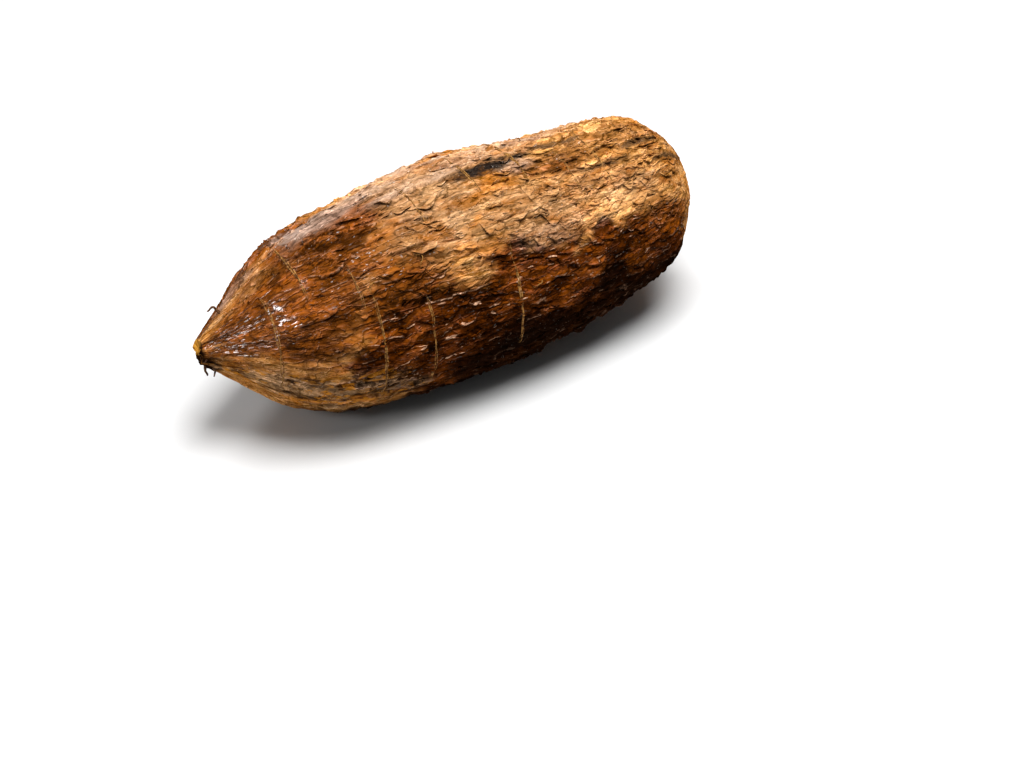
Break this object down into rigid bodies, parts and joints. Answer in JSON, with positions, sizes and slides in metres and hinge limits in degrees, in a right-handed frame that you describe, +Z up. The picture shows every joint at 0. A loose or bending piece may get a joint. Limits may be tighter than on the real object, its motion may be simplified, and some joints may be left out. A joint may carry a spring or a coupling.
{
  "type": "cassava root",
  "caption": "Whole unpeeled cassava root lying on its side: thick spindle body, pointed snapped tail, blunt head and rough flaking brown bark.",
  "frame": {"origin": "centre of the bounding box, on the plane the root rests on", "axes": "+X along the root from the pointed tail to the blunt head, +Z up, +Y completes the right-handed frame"},
  "size_m": [0.2304, 0.088, 0.0858],
  "materials": {
    "bark": "rough flaking papery bark with a thin waxy sheen"
  },
  "bodies": {
    "root": {"cassava_root": "bark"}
  },
  "joints": []
}
